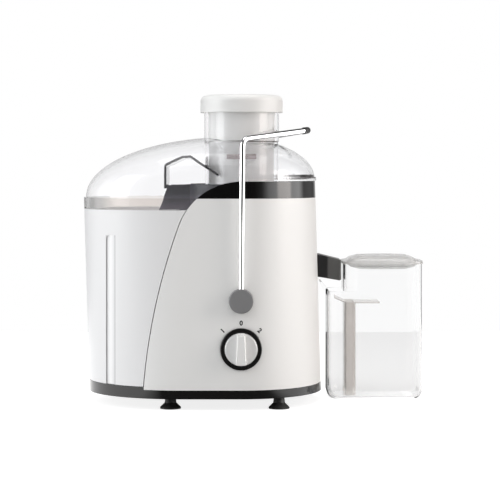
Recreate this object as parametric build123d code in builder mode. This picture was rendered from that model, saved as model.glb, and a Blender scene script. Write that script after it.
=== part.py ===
"""Centrifugal juicer with a pulp container on its left and a juice jug on its right.

Millimetres, +Z up, the front faces -Y. The origin lies on the table, in the middle of the
whole footprint. The planes below put the motor axis at local (0, 0), so every size of the
juicer is measured from that axis, and the jug's from its own middle.
"""
from build123d import *
import os
from math import sqrt

os.makedirs("parts", exist_ok=True)

# ---------------------------------------------------------------- heights above the table
foot_height = 12.0
tray_top = 21.0
container_floor = 24.0
container_rim = 204.5
band_foot = 216.5
band_top = 234.0
deck_height = 118.0
dial_height = 63.0
pivot_height = 112.5
chute_top = 306.5
chute_ledge = 276.0
chute_foot = 166.0

# ---------------------------------------------------------------- body outline
left_base = 162.5
left_rim = 168.0
right_base = 84.5
right_rim = 78.5
half_base = 88.0
half_rim = 85.0
left_end_centre = 62.0
body_wall = 2.5
tray_wall = 2.5
tray_floor = 2.5
deck_thickness = 3.5
deck_hole = 16.0
duct_opening_drop = 9.0
spout_hole_length = 30.0
spout_hole_gap = 1.0

# ---------------------------------------------------------------- seam and its fits
seam_foot_x = -100.5
seam_waist = (-86.5, 110.0)
seam_shoulder = (-63.0, 190.0)
body_gap = 0.8
lid_gap = 0.3
slip_gap = 0.3
screw_seat_gap = 0.2
cut_over = 1.0
running_gap = 0.05

# ---------------------------------------------------------------- pulp container
container_wall = 2.3
groove_centre = -135.3
groove_width = 9.5
groove_depth = 1.1
groove_top = 179.0
groove_run_out = 20.0
container_seat_gap = 0.2

# ---------------------------------------------------------------- lid, chute and pusher
lid_wall = 2.5
dome_apex = 281.0
dome_apex_x = -11.0
dome_left = 166.0
dome_right = 78.2
dome_half = 84.5
left_spring = 218.0
right_spring = 236.0
left_band_height = 12.0
right_band_height = 4.0
right_band_step = 1.2
right_band_start = -4.0
chute_radius = 40.0
chute_step = 0.8
chute_bore = 36.5
chute_fit = 0.15
pusher_gap = 0.9
pusher_wall = 3.0
pusher_step = 0.7
pusher_foot = 172.0
cap_radius = 44.0
cap_height = 18.5
cap_edge = 6.5
cap_plug = 6.0
hood_half = 34.0
hood_left = -80.0
hood_foot = 226.5
hood_thickness = 2.4
hood_corners = ((-80.0, 251.5), (-62.0, 259.5), (-53.5, 260.0))
hood_end = (-24.0, 240.0)
hood_bend = 4.0
hood_gap = 0.15

# ---------------------------------------------------------------- juice bowl and spout
bowl_radius = 66.0
bowl_wall = 2.4
bowl_floor = 130.0
bowl_top = 231.0
bowl_foot_inset = 6.0
bowl_foot_width = 3.0
duct_top_drop = 1.0
stub_setback = 0.4
seal_lift = 2.0
seal_height = 6.0
bowl_room_gap = 2.5
duct_half = 38.0
duct_wall = 2.2
duct_left = -86.5
duct_lip = -77.0
duct_drop = 2.0
duct_notch_gap = 0.8
duct_notch_left = -95.0
duct_floor_end = -73.6
hub_bore = 8.5
hub_wall = 3.0
hub_height = 12.0
spout_y = 20.0
spout_width = 32.0
spout_foot = 131.0
spout_height = 24.0
spout_wall = 2.2
spout_shoulder = 4.5
spout_length = 28.0
spout_drop = 5.8
spout_foot_drop = 4.06
spout_edge = 2.0
spout_passage_length = 42.4
spout_passage_gap = 0.5

# ---------------------------------------------------------------- filter basket
basket_top_radius = 58.0
basket_foot_radius = 48.0
basket_foot = 155.0
basket_rim_height = 206.0
basket_wall = 1.0
basket_base_thickness = 4.0
basket_ring_width = 4.0
basket_ring_height = 5.0
basket_ring_edge = 1.5
lug_place = 10.5
lug_radius = 2.4
lug_height = 3.0
grater_radius = 43.0
grater_thickness = 1.2
tooth_height = 2.2
tooth_width = 2.2
tooth_side = 2.6
tooth_taper = 12
tooth_rows = (16.0, 25.0, 34.0)
teeth_per_row = 12

# ---------------------------------------------------------------- motor
shaft_radius = 4.0
shaft_foot = 17.5
shaft_room = 2.0
hub_press_gap = 0.02
shaft_nut_height = 3.0
shaft_nut_flange = 3.0
shaft_nut_edge = 1.5
bearing_radius = 11.0
bearing_width = 7.0
bearing_cap = 1.5
bearing_cup_wall = 3.0
race_width = 2.2
stator_radius = 38.0
stator_bore = 22.4
stack_foot = 60.0
stack_height = 36.0
air_gap = 0.9
armature_slots = 12
armature_slot_length = 9.0
armature_slot_width = 3.0
armature_slot_inset = 5.0
slot_mouth_depth = 3.0
slot_mouth_width = 1.6
winding_inset = 1.5
winding_edge = 2.5
bracket_thickness = 4.0
lower_bracket_foot = 36.0
upper_bracket_foot = 106.0
bracket_post_place = 46.5
motor_screw_radius = 2.0
motor_screw_head = 3.0
hex_socket = 1.6
posts = 4
post_start_angle = 45
arm_overlap = 3.0
mount_radius = 7.0
coil_inner = 24.5
coil_outer = 31.5
coil_half_angle = 62.0
coil_window_angle = 42.0
coil_end = 7.0
coil_gap_angle = 0.8
stack_screw_place = 36.0
stack_screw_radius = 1.5
stack_screw_head_radius = 1.95
stack_screw_head = 2.0
bracket_wall = 4.0
bearing_groove = 0.6
fan_radius = 34.0
fan_foot = 19.5
fan_height = 10.0
fan_blades = 9
fan_hub = 8.0
fan_plate = 1.6
fan_blade = 1.5
fan_blade_start = 7.0
fan_blade_turn = 18
vent_place = 23.0
vent_count = 16
vent_length = 20.0
vent_width = 3.4
commutator_radius = 12.0
commutator_bars = 24
bar_gap_depth = 1.6
bar_gap_width = 0.5
commutator_foot = 45.0
brush_size = 5.0
holder_length = 20.0
holder_wall = 1.2
holder_gap = 3.0
holder_back = 2.0
brush_length = 16.0
coupling_radius = 16.0
coupling_height = 9.0

# ---------------------------------------------------------------- knob and switch
dial_radius = 21.3
dial_bore = 17.0
dial_depth = 5.2
dial_pocket = 2.4
dial_boss = 5.5
knob_gap = 0.35
knob_depth = 6.5
knob_edge = 1.0
bezel_edge = 1.0
grip_height = 10.0
grip_foot_width = 11.5
grip_top_width = 8.0
grip_inset = 1.0
grip_rim = 0.5
grip_taper = 3
grip_edge = 0.6
spindle_radius = 3.0
spindle_room = 1.5
switch_size = 28.0
switch_depth = 20.0
switch_edge = 3.0
pin_places = (-8.0, 0.0, 8.0)
pin_thickness = 0.8
pin_width = 6.3
pin_length = 7.0
pin_drop = 6.0

# ---------------------------------------------------------------- locking bail
wire_radius = 2.9
bail_lean = 1.5
bail_shoulder = 277.5
bail_apex = (76.0, 289.0)
bail_bend = 9.0
bail_nose_bend = 20.0
pivot_cap_radius = 12.5
pivot_cap_depth = 9.4
pivot_cap_edge = 1.2
stub_radius = 4.0
bush_radius = 6.5
bush_flange = 9.0
bush_flange_thickness = 1.2
bush_length = 12.0
bush_flange_gap = 0.4
pivot_screw_radius = 1.6
pivot_screw_head = 1.8
pivot_screw_head_radius = 5.0
pivot_screw_length = 9.6
screw_slot_width = 0.9
screw_slot_depth = 1.0
stub_reach = 1.0
bail_foot = 106.0
grip_sleeve_wall = 0.6

# ---------------------------------------------------------------- switch of the lock
lock_switch_width = 20.0
lock_switch_depth = 6.4
lock_switch_height = 10.0
lock_switch_drop = 4.0
lock_button_width = 2.4
lock_button_height = 1.6

# ---------------------------------------------------------------- feet and base screws
foot_places = ((-73.0, 66.0), (39.0, 66.0))
foot_radius = 10.8
foot_neck = 5.5
foot_plug = 3.5
foot_plug_reach = 1.5
foot_hollow = 1.6
foot_hollow_radius = 6.8
foot_ring = 7.6
foot_edge = 1.4
foot_waist = 6.1
foot_waist_height = 6.0
screw_places = ((-78.0, 78.5), (51.0, 60.5))
boss_radius = 5.5
screw_radius = 2.0
screw_head_radius = 3.8
screw_head_height = 3.0
screw_length = 24.0

# ---------------------------------------------------------------- cord gland
gland_x = -20.0
gland_height = 45.0
gland_side = 10.4
gland_bore = 3.6
gland_flange = 8.5
gland_flange_thickness = 2.0
gland_reach = 8.0

# ---------------------------------------------------------------- jug
jug_left = 91.5
jug_right = 193.5
jug_y = 27.0
jug_depth = 76.0
jug_corner = 20.0
jug_height = 145.0
jug_wall = 2.2
jug_floor = 3.0
jug_foot_round = 9.0
inlet_width = 17.5
inlet_height = 116.0
lip_reach = 7.5
lip_rise = 9.5
lip_half = 20.0
jug_join = 1.0
inlet_blend = 5.0
jug_lid_flange = 2.6
jug_lid_edge = 1.2
jug_lid_gap = 1.0
jug_lid_wall = 1.6
crown_steps = ((0.0, 0.0), (5.0, 3.4), (13.0, 5.6), (24.0, 6.6))
crown_corner = 6.0
separator_left = 110.4
separator_width = 12.0
separator_half = 22.0
separator_wall = 1.6
separator_top = 104.0
separator_shelf = 26.0
separator_arm = (99.5, 109.5)
separator_round = 4.0
separator_slot = 8.0

# ---------------------------------------------------------------- places worked out from the sizes
def body_half_depth(height):
    """Distance from the motor axis to the flat front of the body at a height."""
    rise = (height - tray_top) / (band_top - tray_top)
    return half_base + (half_rim - half_base) * rise


panel_at_dial = body_half_depth(dial_height)
panel_at_pivot = body_half_depth(pivot_height)
knob_front = panel_at_dial - dial_pocket + slip_gap + knob_depth + grip_height
wall_face = panel_at_pivot + bush_flange_gap
cap_back = wall_face + bush_flange_thickness + slip_gap
cap_front = cap_back + pivot_cap_depth
bail_offset = cap_back + pivot_cap_depth / 2
axis_x = (left_rim - jug_right - jug_lid_edge) / 2
axis_y = (knob_front - cap_front) / 2

level = Plane((axis_x, axis_y, 0))
upright = Plane((axis_x, axis_y, 0), x_dir=(1, 0, 0), z_dir=(0, -1, 0))
rear_upright = Plane((axis_x, axis_y, 0), x_dir=(-1, 0, 0), z_dir=(0, 1, 0))
spin = Axis((axis_x, axis_y, 0), (0, 0, 1))
far = left_rim + jug_right


def write(piece, label):
    """Label a finished piece and write it as its own STEP file."""
    piece.part.label = label
    export_step(piece.part, f"parts/{label}.step")


def oval(height, left, right, half_depth, left_centre, right_centre):
    """Level outline with a straight front and back between two half ovals."""
    with BuildSketch(level.offset(height)) as outline:
        with BuildLine():
            EllipticalCenterArc(
                (right_centre, 0), right - right_centre, half_depth, -90, arc_size=180
            )
            Line((right_centre, half_depth), (left_centre, half_depth))
            EllipticalCenterArc(
                (left_centre, 0), left_centre - left, half_depth, 90, arc_size=180
            )
            Line((left_centre, -half_depth), (right_centre, -half_depth))
        make_face()
    return outline.sketch


def body_outline(height, inset=0.0):
    """Outline of the body at a height: it narrows upwards on the right and widens on the left."""
    rise = (height - tray_top) / (band_top - tray_top)
    left = left_base + (left_rim - left_base) * (height - tray_top) / (container_rim - tray_top)
    right = right_base + (right_rim - right_base) * rise
    return oval(
        height, inset - left, right - inset, body_half_depth(height) - inset, -left_end_centre, 0
    )


def body_block(low, high, inset=0.0):
    """Solid between two levels inside the body's outline."""
    with BuildPart() as block:
        loft([body_outline(low, inset), body_outline(high, inset)], ruled=True)
    return block.part


def dome_outline(height, wall=0.0):
    """Outline of the lid's dome: upright to its springing line, then a quarter oval each way."""
    apex = dome_apex - wall
    left_rise = max(0.0, (height - left_spring) / (apex - left_spring))
    right_rise = max(0.0, (height - right_spring) / (apex - right_spring))
    left_share = sqrt(1 - left_rise**2)
    right_share = sqrt(1 - right_rise**2)
    return oval(
        height,
        dome_apex_x - (dome_left + dome_apex_x - wall) * left_share,
        dome_apex_x + (dome_right - dome_apex_x - wall) * right_share,
        (dome_half - wall) * right_share,
        dome_apex_x - (left_end_centre + dome_apex_x) * left_share,
        dome_apex_x * (1 - right_share),
    )


def dome_levels(foot, apex):
    """Heights of the dome's outlines, closer together towards the top."""
    shares = (0.15, 0.3, 0.45, 0.6, 0.73, 0.84, 0.92, 0.97, 0.99)
    return [foot, left_spring] + [left_spring + (apex - left_spring) * s for s in shares]


def seam_region(shift=0.0, rise=0.0, bulge=None, bulge_top=container_rim - 1):
    """Solid on the juicer's side of the seam, moved by shift and rise, with the bowl room's bulge."""
    foot = (seam_foot_x + shift, foot_height + rise)
    waist = (seam_waist[0] + shift, seam_waist[1] + rise)
    shoulder = (seam_shoulder[0] + shift, seam_shoulder[1] + rise)
    crown = (shift, band_top + rise)
    with BuildPart() as region:
        with BuildSketch(upright):
            with BuildLine():
                lower = ThreePointArc(foot, waist, shoulder)
                TangentArc(shoulder, crown, tangent=lower % 1)
                Polyline(crown, (far, band_top + rise), (far, 0), (foot[0], 0), foot)
            make_face()
        extrude(amount=far, both=True)
        if bulge:
            with BuildSketch(level):
                Circle(bulge)
            extrude(amount=bulge_top)
    return region.part


def ring(height, thickness, outer, inner):
    """Flat ring about the motor axis, for use inside another piece."""
    with BuildPart() as washer:
        with BuildSketch(level.offset(height)):
            Circle(outer)
            Circle(inner, mode=Mode.SUBTRACT)
        extrude(amount=thickness)
    return washer.part


def sector(inner, outer, middle, half_angle):
    """Sketch of a ring sector about the motor axis, in degrees from +X."""
    with BuildSketch() as slice_of_ring:
        with BuildLine():
            outer_arc = CenterArc((0, 0), outer, middle - half_angle, 2 * half_angle)
            inner_arc = CenterArc((0, 0), inner, middle - half_angle, 2 * half_angle)
            Line(outer_arc @ 0, inner_arc @ 0)
            Line(outer_arc @ 1, inner_arc @ 1)
        make_face()
    return slice_of_ring.sketch


bulge_radius = bowl_radius + bowl_room_gap + body_wall
housing_region = seam_region(bulge=bulge_radius)
housing_inside = seam_region(shift=body_wall, bulge=bulge_radius - body_wall)
container_bound = seam_region(
    shift=-body_gap, bulge=bulge_radius + body_gap, bulge_top=band_top
)
container_skin = body_gap + container_wall
container_core_bound = seam_region(
    shift=-container_skin, bulge=bulge_radius + container_skin, bulge_top=band_top
)
lid_bound = seam_region(shift=-lid_gap, rise=lid_gap)

# ================================================================ base tray and feet
all_feet = [(x, y * side) for x, y in foot_places for side in (-1, 1)]
all_base_screws = [(x, y * side) for x, y in screw_places for side in (-1, 1)]

with BuildPart() as plinth_core:
    add(body_block(foot_height, container_floor - tray_floor, tray_wall))
    add(container_bound, mode=Mode.SUBTRACT)

with BuildPart() as tray_core:
    add(body_block(foot_height + tray_floor, container_floor, tray_wall))
    add(housing_inside, mode=Mode.INTERSECT)

with BuildPart() as housing_seat:
    add(body_block(tray_top, container_floor + cut_over, -cut_over))
    add(housing_region, mode=Mode.INTERSECT)

with BuildPart() as base_tray:
    add(body_block(foot_height, container_floor))
    add(housing_seat.part, mode=Mode.SUBTRACT)
    add(plinth_core.part, mode=Mode.SUBTRACT)
    add(tray_core.part, mode=Mode.SUBTRACT)
    with BuildSketch(level.offset(foot_height)):
        with Locations(*all_base_screws):
            Circle(boss_radius)
    extrude(amount=tray_top - foot_height)
    with BuildSketch(level.offset(foot_height)):
        with Locations(*all_feet):
            Circle(foot_plug + slip_gap)
        with Locations(*all_base_screws):
            Circle(screw_radius + slip_gap)
        with PolarLocations(vent_place, vent_count):
            SlotOverall(vent_length, vent_width)
    extrude(amount=tray_top - foot_height, mode=Mode.SUBTRACT)
    with BuildSketch(level.offset(foot_height)):
        with Locations(*all_base_screws):
            Circle(screw_head_radius + slip_gap)
    extrude(amount=screw_head_height + slip_gap, mode=Mode.SUBTRACT)
write(base_tray, "base_tray")

foot_names = ("front_left", "rear_left", "front_right", "rear_right")
for name, (x, y) in zip(foot_names, all_feet):
    foot_axis = Plane((axis_x + x, axis_y + y, 0), x_dir=(1, 0, 0), z_dir=(0, -1, 0))
    with BuildPart() as foot:
        with BuildSketch(foot_axis):
            with BuildLine():
                Polyline(
                    (0, foot_hollow),
                    (foot_hollow_radius, foot_hollow),
                    (foot_ring, 0),
                    (foot_radius, 0),
                    (foot_radius, foot_edge),
                    (foot_waist, foot_waist_height),
                    (foot_neck, foot_height),
                    (foot_plug, foot_height),
                    (foot_plug, foot_height + tray_floor + foot_plug_reach),
                    (0, foot_height + tray_floor + foot_plug_reach),
                    close=True,
                )
            make_face()
        revolve(axis=Axis((axis_x + x, axis_y + y, 0), (0, 0, 1)))
    write(foot, f"foot_{name}")

with BuildPart() as base_screws:
    for x, y in all_base_screws:
        with BuildSketch(level.offset(foot_height + screw_seat_gap)):
            with Locations((x, y)):
                Circle(screw_head_radius)
                RegularPolygon(hex_socket, 6, mode=Mode.SUBTRACT)
        extrude(amount=screw_head_height)
        with BuildSketch(level.offset(foot_height + screw_seat_gap + screw_head_height / 2)):
            with Locations((x, y)):
                Circle(screw_radius)
        extrude(amount=screw_length)
write(base_screws, "base_screws")

# ================================================================ main housing and trim band
with BuildPart() as motor_room:
    add(body_block(tray_top, deck_height, body_wall))
    add(housing_inside, mode=Mode.INTERSECT)

deck_top = deck_height + deck_thickness
duct_level = container_rim - duct_drop
with BuildPart() as bowl_room:
    add(body_block(deck_top, band_top, body_wall))
    add(housing_inside, mode=Mode.INTERSECT)

open_side = container_rim - duct_opening_drop
with BuildPart() as duct_opening:
    add(body_block(open_side, band_top, body_wall))

with BuildPart() as dial_seat:
    with BuildSketch(upright.offset(panel_at_dial - dial_boss)):
        with Locations((0, dial_height)):
            Circle(dial_radius + body_wall)
    extrude(amount=dial_boss)
    add(body_block(tray_top, band_foot, body_wall / 2), mode=Mode.INTERSECT)

with BuildPart() as main_housing:
    add(body_block(tray_top, band_foot))
    add(housing_region, mode=Mode.INTERSECT)
    add(motor_room.part, mode=Mode.SUBTRACT)
    add(bowl_room.part, mode=Mode.SUBTRACT)
    add(duct_opening.part, mode=Mode.SUBTRACT)
    # Hole in the deck for the shaft, and bosses under it for the rubber mounts
    with BuildSketch(level.offset(deck_height)):
        Circle(deck_hole)
    extrude(amount=deck_thickness, mode=Mode.SUBTRACT)
    with BuildSketch(level.offset(deck_height)):
        with PolarLocations(bracket_post_place, posts, post_start_angle):
            Circle(motor_screw_radius + slip_gap)
    extrude(amount=deck_thickness, mode=Mode.SUBTRACT)
    # Screw bosses in the corners of the motor room
    with BuildSketch(level.offset(tray_top)):
        with Locations(*all_base_screws):
            Circle(boss_radius)
            Circle(screw_radius, mode=Mode.SUBTRACT)
    extrude(amount=screw_length)
    # Seat of the dial and hole of the spindle
    add(dial_seat.part)
    with BuildSketch(upright.offset(panel_at_dial - dial_pocket)):
        with Locations((0, dial_height)):
            Circle(dial_radius + slip_gap)
    extrude(amount=dial_pocket + cut_over, mode=Mode.SUBTRACT)
    with BuildSketch(upright.offset(panel_at_dial)):
        with Locations((0, dial_height)):
            Circle(spindle_radius + spindle_room)
    extrude(amount=-dial_boss - cut_over, mode=Mode.SUBTRACT)
    # Holes of the two pivot bushes, through the front and the back
    with BuildSketch(upright):
        with Locations((0, pivot_height)):
            Circle(bush_radius + running_gap)
    extrude(amount=half_base + cut_over, both=True, mode=Mode.SUBTRACT)
    # Way out of the juice spout on the right
    with BuildSketch(upright.offset(-spout_y)):
        with Locations((right_base, spout_foot + spout_height / 2)):
            Rectangle(spout_hole_length, spout_height + 2 * spout_hole_gap)
    extrude(amount=spout_width / 2 + spout_hole_gap, both=True, mode=Mode.SUBTRACT)
    # Square hole of the cord gland, low on the back
    with BuildSketch(upright.offset(-half_base - cut_over)):
        with Locations((gland_x, gland_height)):
            Rectangle(gland_side + 2 * slip_gap, gland_side + 2 * slip_gap)
    extrude(amount=body_wall * 3, mode=Mode.SUBTRACT)
write(main_housing, "main_housing")

with BuildPart() as band_core:
    add(body_block(band_foot, band_top, body_wall))
with BuildPart() as trim_band:
    add(body_block(band_foot, band_top))
    add(seam_region(), mode=Mode.INTERSECT)
    add(band_core.part, mode=Mode.SUBTRACT)
write(trim_band, "trim_band")

# ================================================================ pulp container
with BuildPart() as container_core:
    add(body_block(container_floor + container_wall, container_rim + cut_over, container_wall))
    add(container_core_bound, mode=Mode.SUBTRACT)

with BuildPart() as groove_skin:
    add(body_block(container_floor, container_rim, -cut_over))
    groove_bottom = body_block(container_floor - cut_over, container_rim + cut_over, groove_depth)
    add(groove_bottom, mode=Mode.SUBTRACT)
    with BuildSketch(upright):
        with Locations((groove_centre, (container_floor + groove_top - groove_run_out) / 2)):
            SlotOverall(groove_top - container_floor + groove_run_out, groove_width, rotation=90)
    extrude(amount=half_base * 2, both=True, mode=Mode.INTERSECT)

container_base = container_floor + container_seat_gap
with BuildPart() as pulp_container:
    add(body_block(container_base, container_rim))
    add(container_bound, mode=Mode.SUBTRACT)
    add(container_core.part, mode=Mode.SUBTRACT)
    add(groove_skin.part, mode=Mode.SUBTRACT)
    # Notch in the wall beside the bowl, where the pulp duct lies
    with BuildSketch(level.offset(duct_level - duct_notch_gap)):
        with Locations((duct_notch_left / 2, 0)):
            Rectangle(-duct_notch_left, 2 * (duct_half + duct_notch_gap))
    extrude(amount=band_top, mode=Mode.SUBTRACT)
write(pulp_container, "pulp_container")

# ================================================================ lid and feed chute
with BuildPart() as dome_core:
    loft([dome_outline(z, lid_wall) for z in dome_levels(container_rim - cut_over, dome_apex - lid_wall)])

lid_foot = container_rim + lid_gap
right_foot = band_top + lid_gap
with BuildPart() as left_band:
    add(body_block(lid_foot, lid_foot + left_band_height))
    with BuildSketch(level):
        with Locations((-left_end_centre - far / 2, 0)):
            Rectangle(far, 4 * half_base)
    extrude(amount=band_top, mode=Mode.INTERSECT)

with BuildPart() as right_band:
    add(body_block(right_foot, right_foot + right_band_height, -right_band_step))
    with BuildSketch(level):
        with Locations((far / 2 + right_band_start, 0)):
            Rectangle(far, 4 * half_base)
    extrude(amount=dome_apex, mode=Mode.INTERSECT)



def chute_block(grown=0.0):
    """Outside of the feed chute, thinner below its ledge, grown by a clearance."""
    with BuildPart() as block:
        with BuildSketch(level.offset(chute_foot)):
            Circle(chute_radius - chute_step + grown)
        extrude(amount=chute_ledge - chute_foot)
        with BuildSketch(level.offset(chute_ledge)):
            Circle(chute_radius + grown)
        extrude(amount=chute_top - chute_ledge)
    return block.part


with BuildPart() as lid:
    loft([dome_outline(z) for z in dome_levels(lid_foot, dome_apex)])
    add(left_band.part)
    add(right_band.part)
    add(dome_core.part, mode=Mode.SUBTRACT)
    add(lid_bound, mode=Mode.SUBTRACT)
    add(chute_block(chute_fit), mode=Mode.SUBTRACT)
write(lid, "lid")

with BuildPart() as feed_chute:
    add(chute_block())
    with BuildSketch(level.offset(chute_foot)):
        Circle(chute_bore)
    extrude(amount=chute_top - chute_foot, mode=Mode.SUBTRACT)
write(feed_chute, "feed_chute")

with BuildPart() as pulp_hood:
    with BuildSketch(upright):
        with BuildLine():
            FilletPolyline((hood_left, hood_foot), *hood_corners, hood_end, radius=hood_bend)
        trace(line_width=hood_thickness)
    extrude(amount=hood_half, both=True)
    with BuildSketch(level):
        Circle(chute_radius - chute_step + hood_gap)
    extrude(amount=chute_top, mode=Mode.SUBTRACT)
write(pulp_hood, "pulp_hood")

# ================================================================ pusher
pusher_radius = chute_bore - pusher_gap
cap_seat = chute_top + slip_gap
with BuildPart() as pusher:
    with BuildSketch(upright):
        with BuildLine():
            Polyline(
                (0, pusher_foot),
                (pusher_radius - pusher_step, pusher_foot),
                (pusher_radius - pusher_step, chute_ledge),
                (pusher_radius, chute_ledge),
                (pusher_radius, cap_seat),
                (pusher_radius - pusher_wall, cap_seat),
                (pusher_radius - pusher_wall, pusher_foot + pusher_wall),
                (0, pusher_foot + pusher_wall),
                close=True,
            )
        make_face()
    revolve(axis=spin)
write(pusher, "pusher")

with BuildPart() as pusher_cap:
    with BuildSketch(level.offset(cap_seat)):
        Circle(cap_radius)
    extrude(amount=cap_height)
    fillet(pusher_cap.edges().group_by(Axis.Z)[-1], cap_edge)
    with BuildSketch(level.offset(cap_seat - cap_plug)):
        Circle(pusher_radius - pusher_wall - running_gap)
    extrude(amount=cap_plug)
    with BuildSketch(level.offset(cap_seat - cap_plug)):
        Circle(pusher_radius - 2 * pusher_wall)
    extrude(amount=cap_height + cap_plug - pusher_wall, mode=Mode.SUBTRACT)
    with BuildSketch(level.offset(cap_seat)):
        Circle(cap_radius - pusher_wall)
        Circle(pusher_radius, mode=Mode.SUBTRACT)
    extrude(amount=cap_height - pusher_wall, mode=Mode.SUBTRACT)
write(pusher_cap, "pusher_cap")

# ================================================================ juice bowl and spout
duct_top = bowl_top - duct_top_drop
bowl_inner = bowl_radius - bowl_wall
with BuildPart() as duct_shell:
    with BuildSketch(upright):
        with BuildLine():
            Polyline(
                (-bowl_inner / 2, duct_level),
                (duct_left, duct_level),
                (duct_lip, duct_top),
                (-bowl_inner / 2, duct_top),
                close=True,
            )
        make_face()
    extrude(amount=duct_half, both=True)

with BuildPart() as duct_space:
    with BuildSketch(level.offset(duct_level + duct_wall)):
        with Locations((-bowl_radius - bowl_inner / 2, 0)):
            Rectangle(2 * bowl_radius, 2 * (duct_half - duct_wall))
    extrude(amount=bowl_top)
    with BuildSketch(level.offset(duct_level - cut_over)):
        with Locations((duct_floor_end - bowl_radius, 0)):
            Rectangle(2 * bowl_radius, 2 * (duct_half - duct_wall))
    extrude(amount=bowl_top)

with BuildPart() as spout_passage:
    with BuildSketch(upright.offset(-spout_y)):
        with Locations((bowl_radius, bowl_floor + spout_height / 2 + bowl_wall)):
            Rectangle(spout_passage_length, spout_height - 2 * (spout_wall + spout_passage_gap))
    extrude(amount=spout_width / 2 - spout_wall, both=True)

# Plate that closes the gap between the bowl and the trim band
with BuildPart() as rim_plate:
    add(body_block(bowl_top - bowl_wall, bowl_top, body_wall + slip_gap))
    add(housing_region, mode=Mode.INTERSECT)

stub_end = right_rim - stub_setback
with BuildPart() as juice_bowl:
    with BuildSketch(level.offset(bowl_floor)):
        Circle(bowl_radius)
    extrude(amount=bowl_top - bowl_floor)
    with BuildSketch(upright.offset(-spout_y)):
        with Locations((stub_end / 2, spout_foot + spout_height / 2)):
            Rectangle(stub_end, spout_height)
    extrude(amount=spout_width / 2, both=True)
    add(duct_shell.part)
    add(rim_plate.part)
    # Inside of the bowl, with the hub tube left standing
    with BuildSketch(level.offset(bowl_floor + bowl_wall)):
        Circle(bowl_inner)
    extrude(amount=bowl_top, mode=Mode.SUBTRACT)
    add(duct_space.part, mode=Mode.SUBTRACT)
    add(spout_passage.part, mode=Mode.SUBTRACT)
    with BuildSketch(level.offset(bowl_floor)):
        Circle(hub_bore + hub_wall)
    extrude(amount=hub_height)
    with BuildSketch(level.offset(deck_top)):
        Circle(bowl_inner - bowl_foot_inset)
        Circle(bowl_inner - bowl_foot_inset - bowl_foot_width, mode=Mode.SUBTRACT)
    extrude(amount=bowl_floor - deck_top)
    with BuildSketch(level.offset(deck_top)):
        Circle(hub_bore)
    extrude(amount=bowl_top, mode=Mode.SUBTRACT)
write(juice_bowl, "juice_bowl")

with BuildPart() as shaft_seal:
    add(ring(bowl_floor + seal_lift, seal_height, hub_bore, shaft_radius + running_gap))
write(shaft_seal, "shaft_seal")

spout_left = right_rim + slip_gap
with BuildPart() as juice_spout:
    with BuildSketch(upright.offset(-spout_y)):
        with BuildLine():
            Polyline(
                (spout_left, spout_foot),
                (spout_left, spout_foot + spout_height),
                (spout_left + spout_shoulder, spout_foot + spout_height),
                (spout_left + spout_length, spout_foot + spout_height - spout_drop),
                (spout_left + spout_length, spout_foot - spout_foot_drop),
                (spout_left + spout_shoulder, spout_foot),
                close=True,
            )
        make_face()
    extrude(amount=spout_width / 2, both=True)
    fillet(juice_spout.edges().filter_by(Axis.X, reverse=True).sort_by(Axis.X)[-4:], spout_edge)
    with BuildSketch(upright.offset(-spout_y)):
        with BuildLine():
            Polyline(
                (spout_left - cut_over, spout_foot + spout_wall),
                (spout_left - cut_over, spout_foot + spout_height - spout_wall),
                (spout_left + spout_shoulder, spout_foot + spout_height - spout_wall),
                (spout_left + spout_length + cut_over, spout_foot + spout_height - spout_drop - spout_wall),
                (spout_left + spout_length + cut_over, spout_foot - spout_foot_drop + spout_wall),
                (spout_left + spout_shoulder, spout_foot + spout_wall),
                close=True,
            )
        make_face()
    extrude(amount=spout_width / 2 - spout_wall, both=True, mode=Mode.SUBTRACT)
write(juice_spout, "juice_spout")

# ================================================================ filter basket on its coupling
with BuildPart() as filter_basket:
    with BuildSketch(upright):
        with BuildLine():
            Polyline(
                (basket_foot_radius, basket_foot + basket_base_thickness),
                (basket_top_radius, basket_rim_height),
                (basket_top_radius - basket_wall, basket_rim_height),
                (basket_foot_radius - basket_wall, basket_foot + basket_base_thickness),
                close=True,
            )
        make_face()
    revolve(axis=spin)
write(filter_basket, "filter_basket")

with BuildPart() as basket_rim:
    add(
        ring(
            basket_rim_height,
            basket_ring_height,
            basket_top_radius + basket_ring_width,
            basket_top_radius - basket_wall,
        )
    )
    fillet(basket_rim.edges().group_by(Axis.Z)[-1], basket_ring_edge)
write(basket_rim, "basket_rim")

with BuildPart() as basket_base:
    with BuildSketch(level.offset(basket_foot)):
        Circle(basket_foot_radius)
        Circle(shaft_radius + running_gap, mode=Mode.SUBTRACT)
        with PolarLocations(lug_place, 3):
            Circle(lug_radius + slip_gap, mode=Mode.SUBTRACT)
    extrude(amount=basket_base_thickness)
write(basket_base, "basket_base")

grater_foot = basket_foot + basket_base_thickness
with BuildPart() as grater_disc:
    add(ring(grater_foot, grater_thickness, grater_radius, shaft_radius + running_gap))
    for row in tooth_rows:
        with BuildSketch(level.offset(grater_foot + grater_thickness)):
            with PolarLocations(row, teeth_per_row, start_angle=row):
                Triangle(a=tooth_width, b=tooth_side, c=tooth_side)
        extrude(amount=tooth_height, taper=tooth_taper)
write(grater_disc, "grater_disc")

coupling_foot = basket_foot - coupling_height
with BuildPart() as drive_coupling:
    add(ring(coupling_foot, coupling_height, coupling_radius, shaft_radius))
    with BuildSketch(level.offset(basket_foot)):
        with PolarLocations(lug_place, 3):
            Circle(lug_radius)
    extrude(amount=lug_height)
write(drive_coupling, "drive_coupling")

# ================================================================ motor
stack_top = stack_foot + stack_height
armature_radius = stator_bore - air_gap
slot_middle = (coil_half_angle + coil_window_angle) / 2
slot_half_angle = (coil_half_angle - coil_window_angle) / 2

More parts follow.
